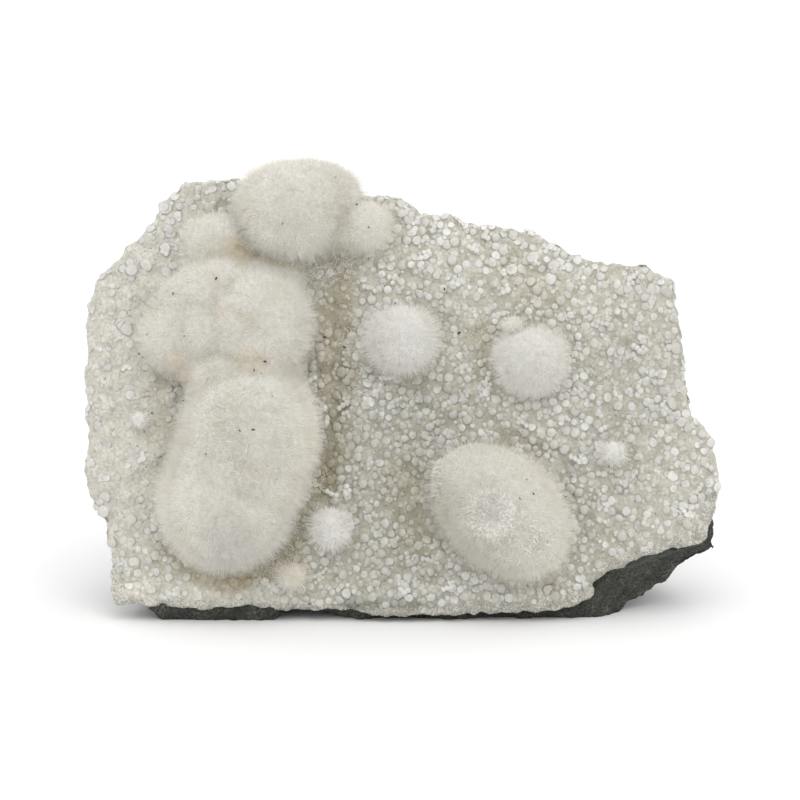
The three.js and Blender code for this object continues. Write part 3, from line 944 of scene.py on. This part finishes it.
SWIRLS = [(2.8, 0.18), (1.3, 0.12)]  # their sizes, and how much they comb the needles aside
STRAYS = dict(density=0.9, width=(0.025, 0.045), height=(0.9, 2.4), lean=75, cover="pile")
CRATER = [(22.1, 27.5), (22.4, 27.2)]
CRATER_RADIUS = 4.9
CRATER_OUT = 8  # the crater is further out from the face than this
CRATER_RIM_HEIGHT, CRATER_RIM_WIDTH = 0.5, 1.2
PIT_RADIUS, PIT_DEPTH = 1.5, 1.0  # the flat middle of the pit
COMBED_ROUND = 4  # how far round the crater the needles lean away from it
CRATER_STREAKS = [(24, 31), (28, 24), (34, 20)]
TORN_RIM = [(10.6, 39.5), (9.2, 36), (9.4, 32)]
TEAR_SIDE = 5  # the tear is further right on the face than this
TEAR_HEIGHT, TEAR_WIDTH = 1.1, 0.6
TUFTS = dict(density=3, width=(0.035, 0.06), height=(0.6, 1.7), lean=45, comb="comb", seed=7)
TUFT_NEEDLES = 7
TUFT_SPREAD = 2.2  # in radii of a needle
STRANDS = dict(density=0.8, width=(0.03, 0.05), height=(2, 4.5), lean=75)
STRAND_BEND, STRAND_WAVE = 28, 14  # how far a loose fibre bends to each side, in its radii
# Where loose fibres are tangled in the felt: a line on the face and how far round it.
TANGLES = [
    ([(-44.9, 51.8), (-38, 41)], 5),
    ([(-41, 39), (-39.5, 37)], 4),
    ([(-43.9, 45), (-43.5, 40)], 2.5),
    ([(-28, 90), (-16, 92)], 4),
    ([(-42.5, 98.5), (-42, 97)], 2),
    ([(-21.5, 106.5), (-21, 105)], 3),
    ([(-9, 72), (-8, 75)], 4),
    ([(-7, 64), (-5, 62.5)], 4),
    ([(49.5, 43), (51, 42)], 3),
    ([(20, 22), (28, 16)], 4),
]


def core_of(name, felt):
    """The felted cores of a group of balls, run together where they meet."""
    shape = bmesh.new()
    inset = felt.get("inset", INSET) * np.array((1, 1, FRONT_INSET))
    turn = Matrix.Rotation(math.radians(felt.get("turn", 0)), 4, "Z")
    for x, y, out, *radii in felt["balls"]:
        sizes = np.array(radii) - inset
        where = Matrix.Translation((x, y, out))
        grown = face @ Matrix.Scale(MM, 4) @ where @ turn @ Matrix.Diagonal((*sizes, 1))
        bmesh.ops.create_icosphere(shape, subdivisions=5, radius=1, matrix=grown)
    core = linked("felt_" + name, shape)
    finest, coarsest = CORE_MESH
    smallest = min(min(ball[3:]) for ball in felt["balls"])
    grid = min(coarsest, max(finest, smallest / CORE_STEPS))
    refine(core, grid * MM, felt.get("softening", CORE_SOFTENING))
    return core


def felt_relief(place):
    """Soft dents of the felt, and the torn rim and the crater of the lower right ball."""
    x, y, out = flat @ place / MM
    at = place / MM
    dents = noise.fractal(at / DENT_SIZE, 1.0, 2.0, 2)
    nap = noise.fractal(at / NAP_SIZE, 0.8, 2.0, 2)
    soft = DENT_DEPTH * dents + NAP_DEPTH * nap
    if x > TEAR_SIDE and out > 0:
        from_tear = away_from(TORN_RIM, np.array([[x, y, out]]))[0]
        soft += TEAR_HEIGHT * math.exp(-((from_tear / TEAR_WIDTH) ** 2))
    if out < CRATER_OUT:
        return soft * MM
    from_crater = math.dist((x, y), CRATER[0]) + 0.8 * noise.noise(at / 2)
    rim = math.exp(-(((from_crater - CRATER_RADIUS) / CRATER_RIM_WIDTH) ** 2))
    pit = 1 - smooth(from_crater, PIT_RADIUS, CRATER_RADIUS)
    return (soft + CRATER_RIM_HEIGHT * rim - PIT_DEPTH * pit) * MM


def okenite(name, least, most, marks=True):
    """Silky okenite between two colours, in soft patches and a little different in each needle."""
    stone, tree, shader = material(name, 0.85)
    broad = patches(tree, least, most, 7, 3)
    small = patches(tree, colour(245, 244, 242), (1, 1, 1, 1), 1.2, 4)
    own = ramped(tree, stored(tree, "tone"), 0, 1)
    own = mixed(tree, own, (0.92, 0.92, 0.91, 1), (1, 1, 1, 1))
    silk = multiplied(tree, multiplied(tree, broad["Colour"], small["Colour"]), own)
    tree.links.new(tinted(tree, silk) if marks else silk, shader["Base Color"])
    return stone, shader


felted, felt_shader = okenite("felted_okenite", colour(215, 214, 210), colour(222, 222, 220))
translucent(felt_shader, 1.2)
silky, _ = okenite("silky_okenite", colour(247, 245, 239), colour(252, 251, 248))


def taper(shape, foot, tip=0):
    """Adds a three-sided needle of length 1 that stands on its foot."""
    sizes = dict(segments=3, radius1=1, radius2=tip, depth=1)
    upright = foot @ Matrix.Translation((0, 0, 0.5))
    bmesh.ops.create_cone(shape, cap_ends=True, matrix=upright, **sizes)


def needle():
    """A needle that tapers to a point."""
    shape = bmesh.new()
    taper(shape, Matrix())
    bmesh.ops.remove_doubles(shape, verts=shape.verts, dist=1e-4)
    return shape


def tuft(seed):
    """A few needles that lean together to one tip, as matted fibres do."""
    shape = bmesh.new()
    for i in range(TUFT_NEEDLES):
        foot = Matrix.Rotation(2.4 * i + seed, 4, "Z") @ Vector((TUFT_SPREAD * math.sqrt(i), 0, 0))
        taper(shape, Matrix.Translation(foot) @ Matrix.Shear("XY", 4, (-foot.x, -foot.y)))
    bmesh.ops.remove_doubles(shape, verts=shape.verts, dist=1e-4)
    return shape


def strand(seed):
    """A loose fibre of length 1, bent to both sides."""
    shape = bmesh.new()
    taper(shape, Matrix(), 0.4)
    along = [edge for edge in shape.edges if abs(edge.verts[0].co.z - edge.verts[1].co.z) > 0.5]
    bmesh.ops.subdivide_edges(shape, edges=along, cuts=5)
    for vertex in shape.verts:
        t = vertex.co.z
        vertex.co.x += STRAND_BEND * math.sin((2.2 + 0.5 * seed) * t)
        vertex.co.y += STRAND_WAVE * math.sin((4 + seed) * t)
    return shape


def strands():
    return [strand(i) for i in range(3)]


def dress(piece, stone=silky):
    """Gives a piece of okenite its finish and lets it ride with the rock."""
    piece.data.materials.append(stone)
    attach(piece, "root")


def combed(piece, places):
    """The direction of the needles on each vertex: outward in swirls, and away from the crater."""
    ways = np.array([vertex.normal for vertex in piece.data.vertices])
    for size, depth in SWIRLS:
        ways += depth * np.array([noise.noise_vector(Vector(place) / size) for place in places])
    away = places[:, :2] - np.mean(CRATER, axis=0)
    distance = np.linalg.norm(away, axis=1)
    share = smooth(distance, CRATER_RADIUS + COMBED_ROUND, CRATER_RADIUS)
    share = share * (places[:, 2] > CRATER_OUT)
    radial = np.column_stack((away / np.maximum(distance, 0.1)[:, None], np.full(len(away), 0.5)))
    return ways + share[:, None] * (radial @ np.array(face.to_3x3()).T - ways)


bright, _ = okenite("bright_okenite", colour(249, 247, 242), colour(253, 252, 248), marks=False)
cores = []
for seed, (name, felt) in enumerate(FELTS.items()):
    core = core_of(name, felt)
    relief(core, felt_relief)
    places = flat_places(core)
    silk = np.array(felt.get("silk", SILK_CREAM))
    # The felt's tint: its silk colour under stains and painted light and shade.
    write_tint(core, silk * marked_tints(places, BALL_MARKS, 1 + 0.4 * cloudy(places, 4)))
    comb = core.data.attributes.new("comb", "FLOAT_VECTOR", "POINT")
    comb.data.foreach_set("vector", combed(core, places).ravel())
    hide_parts(felt["node"])
    dress(core, felted)

    # The fringe stands round the outline, thinner on the upper side and where the felt is torn.
    facing = np.array([vertex.normal.dot(outward) for vertex in core.data.vertices])
    limb = smooth(facing, 0.7, 0.3)
    free = smooth(places[:, 2], -0.8, -0.2)  # out of the crust
    upper = smooth(np.array([vertex.normal.z for vertex in core.data.vertices]), 0.55, 0.9)
    ahead = places[:, 2] > 0
    torn = near(TORN_RIM, places, 3) * ahead
    write(core, "pile", free * (1 - 0.3 * limb))
    write(core, "fringe", free * (0.15 + 0.85 * limb) * (1 - 0.75 * upper) * (1 - 0.9 * torn))
    layers = {"pile": PILE, "fringe": FRINGE | felt.get("fringe", {}), "strays": STRAYS}
    for i, (kind, needles) in enumerate(layers.items()):
        needles = {"cover": kind, "comb": "comb", "seed": 20 * seed + i} | needles
        dress(scatter(f"{kind}_{name}", core, [needle()], **needles))

    tangled = inside(TANGLES, places) * ahead
    if tangled.any():
        write(core, "tangled", tangled)
        loose = dict(STRANDS, cover="tangled", seed=seed)
        dress(scatter("tangles_" + name, core, strands(), **loose), bright)
    if name == "lower_right":
        from_crater = away_from(CRATER, places)
        ring = smooth(from_crater, 1.0, 2.2) * smooth(from_crater, 6.6, 4.6)
        crushed = np.maximum(ring, near(CRATER_STREAKS, places, 5, 0.45))
        crushed *= places[:, 2] > CRATER_OUT
        write(core, "tufted", crushed + near(TORN_RIM, places, 1.2, 1.6) * ahead)
        tufts = [tuft(i) for i in range(4)]
        dress(scatter("crater_tufts", core, tufts, cover="tufted", **TUFTS), bright)
    cores.append(core)

# -------------------- loose fibres and specks
# Fibres that have come loose and lie on the crust beside the puffballs, and the specks of dark
# rock dust that have settled on the felt and between the beads.

# Where loose fibres lie on the crust: a line on the face, how far round it and how thickly.
WISPS = [
    ([(-27.9, 85.5), (-21, 86.5), (-13.5, 90)], 6, 1.0),
    ([(-12.6, 69), (-10.6, 75)], 4, 0.8),
    ([(-8, 59), (-4, 61.5)], 4, 0.8),
    ([(46, 44), (49, 42.5)], 3, 1.0),
    ([(-21, 36), (-22, 28), (-26, 19), (-34, 11.5)], 3, 0.7),
]
WISP_DEPTH = -1  # a loose fibre lies in front of this depth
WISP_STRANDS = dict(STRANDS, density=1.6, cover="wisps", seed=2)
FELT_RISE = 1.0  # how high in the pile of a puffball a speck lies
CRUST_RISE = 0.25  # and how high on the crust
SPECK_UNEVENNESS = 0.15
# Where each speck lies on the face and its length, all in millimetres.
SPECKS = [
    (-35.9, 48.0, 1.0), (-38.9, 47.8, 0.7), (-47.1, 42.0, 0.6), (-31.6, 55.8, 0.4),
    (-30.9, 36.2, 0.4), (-57.9, 32.5, 0.6), (-55.6, 81.2, 0.8), (-45.1, 84.8, 0.9),
    (-52.6, 71.2, 0.6), (-33.4, 65.0, 0.9), (-35.9, 62.5, 0.7), (-34.4, 61.5, 0.4),
    (-65.4, 66.8, 0.6), (-64.4, 65.8, 0.5), (-61.9, 71.5, 0.6), (-46.9, 60.5, 0.5),
    (-54.4, 55.2, 0.5), (-62.1, 52.0, 0.6), (-60.1, 41.2, 0.5), (-28.9, 98.8, 0.6),
    (-16.4, 110.0, 0.5), (-10.6, 103.0, 0.9), (-7.9, 98.0, 0.6), (-8.1, 93.0, 0.5),
    (-0.1, 86.5, 0.5), (-18.9, 71.0, 0.8), (-14.1, 68.5, 0.9), (-19.9, 62.8, 0.5),
    (11.1, 83.0, 0.8), (14.6, 72.0, 1.0), (-1.4, 79.5, 0.7), (28.9, 31.0, 0.6),
    (32.1, 32.0, 0.7), (30.6, 35.2, 0.6), (41.4, 31.2, 0.8), (32.4, 40.2, 0.9),
]

places = flat_places(crust)
write(crust, "wisps", inside(WISPS, places) * (places[:, 2] > WISP_DEPTH))
dress(scatter("loose_fibres", crust, strands(), **WISP_STRANDS), bright)


def specks():
    """Thin, uneven flakes of dark dust that lie flat where they landed."""
    felt_skin = skin_of(cores)
    whole_skin = skin_of([crust, *cores])
    shape = bmesh.new()
    for i, (x, y, length) in enumerate(SPECKS):
        spot, normal, lying = landing(whole_skin, x, y, 2.4 * i)
        on_felt = (felt_skin.find_nearest(spot)[0] - spot).length < SAME_PLACE
        spot += normal * (FELT_RISE if on_felt else CRUST_RISE) * MM
        flake = Matrix.Diagonal((length / 2, length / 3.6, length / 8, 1)) @ Matrix.Scale(MM, 4)
        flake = Matrix.Translation(spot) @ lying @ flake
        grown = bmesh.ops.create_icosphere(shape, subdivisions=2, radius=1, matrix=flake)
        for vertex in grown["verts"]:
            vertex.co += SPECK_UNEVENNESS * length * MM * noise.noise_vector(vertex.co * 1.5 / MM)
    return linked("dark_specks", shape)


def dark_dust():
    dust, tree, shader = material("dark_dust", 0.8)
    grains = patches(tree, colour(38, 34, 28), colour(86, 78, 62), 0.3, 3)
    tree.links.new(grains["Colour"], shader["Base Color"])
    return dust


dust = specks()
dust.data.materials.append(dark_dust())
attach(dust, "root")

# -------------------- floor, light and camera
# A wide pale table under a soft studio tent, with one large lamp above and in front of the
# specimen, and a long lens square to the crusted face.

FLOOR_SIZE = 12.0
FLOOR_DROP = 0.05 * MM
PAPER = (0.9, 0.9, 0.9, 1)
LAMP_PLACE = (0.12, -0.85, 1.15)
LAMP_SPREAD = math.radians(50)
LAMP_POWER = 1.12
AIM = (-0.125, 55.25, 0)  # the place on the face that the camera looks at, in millimetres
CAMERA_DISTANCE = 0.75
LENS = 135

shape = bmesh.new()
drop = Matrix.Translation((0, 0, -FLOOR_DROP))
bmesh.ops.create_grid(shape, x_segments=1, y_segments=1, size=FLOOR_SIZE / 2, matrix=drop)
floor = linked("table", shape)
paper, _, shader = material("pale_paper", 0.9)
shader["Base Color"].default_value = PAPER
floor.data.materials.append(paper)

softbox = bpy.data.lights.new("softbox", "SUN")
softbox.angle = LAMP_SPREAD
softbox.energy = LAMP_POWER
holder = shown("softbox", softbox)
holder.location = LAMP_PLACE
holder.rotation_euler = (-Vector(LAMP_PLACE)).to_track_quat("-Z", "Y").to_euler()

world = bpy.data.worlds.new("studio_tent")
world.use_nodes = True
tent = world.node_tree.nodes["Background"].inputs
tent["Color"].default_value = (1, 1, 1, 1)
tent["Strength"].default_value = 1.0
bpy.context.scene.world = world

aim = face @ (Vector(AIM) * MM)
camera = shown("camera", bpy.data.cameras.new("camera"))
camera.data.lens = LENS
camera.data.sensor_width = 36
camera.data.clip_end = 50
camera.location = aim + outward * CAMERA_DISTANCE
camera.rotation_euler = (math.pi / 2 - LEAN, 0, 0)
bpy.context.scene.camera = camera
bpy.context.scene.view_settings.view_transform = "Standard"
